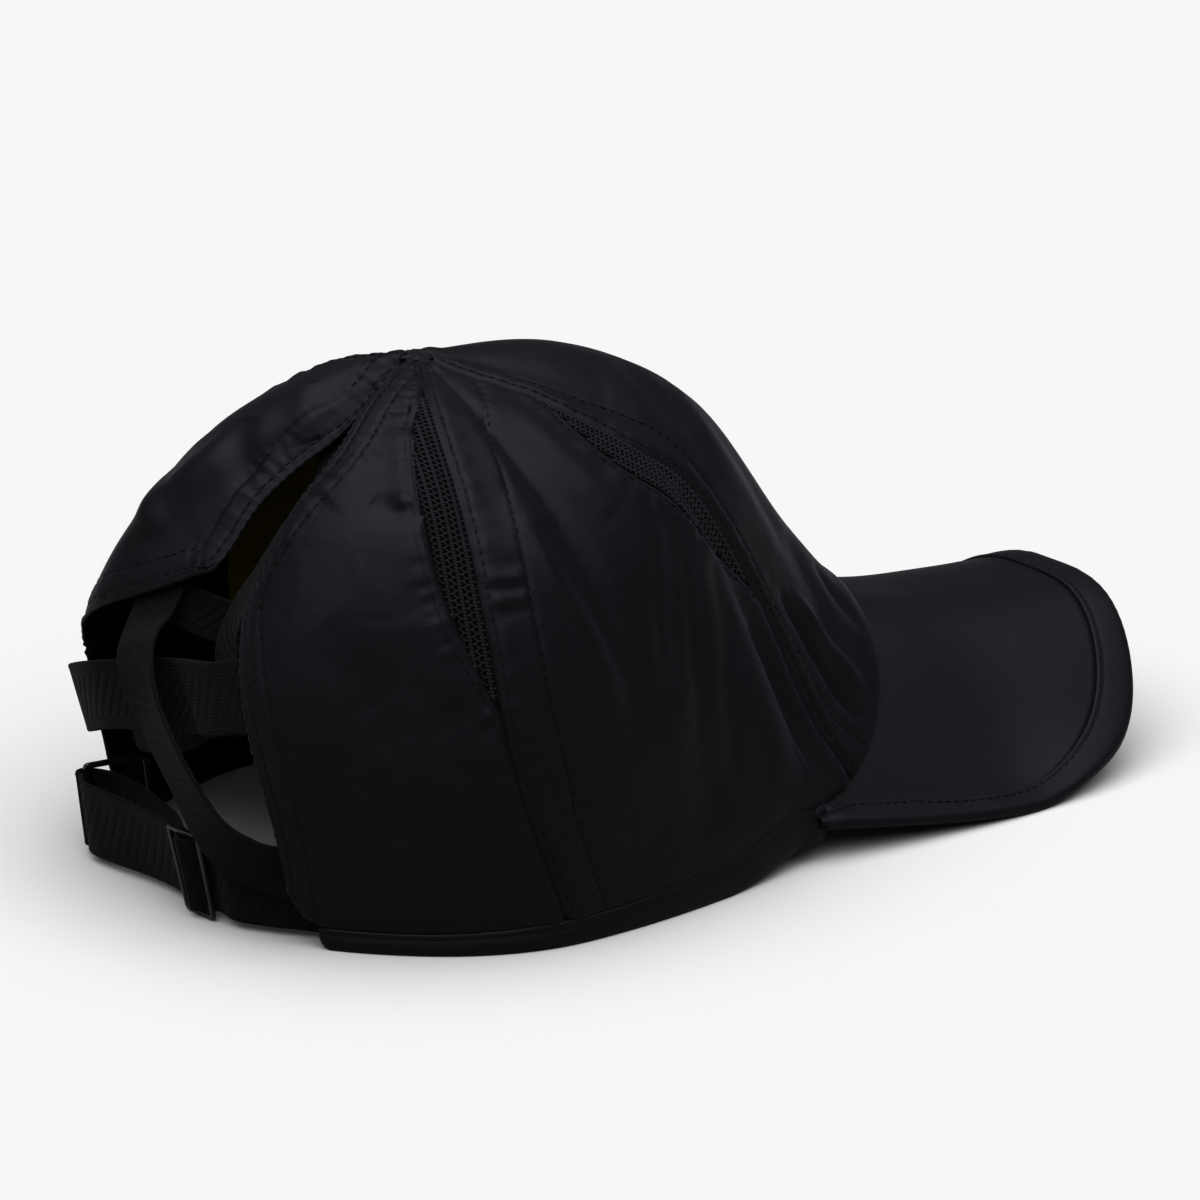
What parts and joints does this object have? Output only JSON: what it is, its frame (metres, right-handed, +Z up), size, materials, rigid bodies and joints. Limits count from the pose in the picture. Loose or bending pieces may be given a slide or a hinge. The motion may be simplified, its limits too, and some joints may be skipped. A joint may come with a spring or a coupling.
{
  "type": "ponytail baseball cap",
  "caption": "Soft panelled running cap with a curved brim, mesh insets and an open back with crossing elastic straps for a ponytail.",
  "frame": {"origin": "under the middle of the bounding box, on the surface the cap rests on", "axes": "+Z up, the brim points along -Y, the wearer's left is +X"},
  "size_m": [0.1468, 0.2642, 0.1213],
  "materials": {
    "cloth": "thin woven cloth with a faint sheen",
    "knit": "knitted mesh",
    "elastic": "ribbed elastic webbing",
    "lining": "smooth thin lining",
    "gloss": "polished"
  },
  "bodies": {
    "root": {"panel_front": "cloth", "panel_side_right": "cloth", "panel_side_left": "cloth", "panel_rear_right": "cloth", "panel_rear_left": "cloth", "mesh_front_right": "knit", "mesh_front_left": "knit", "mesh_rear_right": "knit", "mesh_rear_left": "knit", "crown_tack": "cloth", "brim": "cloth", "brim_binding": "cloth", "hem_binding_right": "cloth", "hem_binding_left": "cloth", "lining_left": "lining", "strap_cross_left": "elastic", "strap_cross_right": "elastic", "strap_upper": "elastic", "strap_mid_left": "elastic", "strap_mid_right": "elastic", "strap_low": "elastic", "slider": "gloss", "strap_ring": "gloss"}
  },
  "joints": []
}
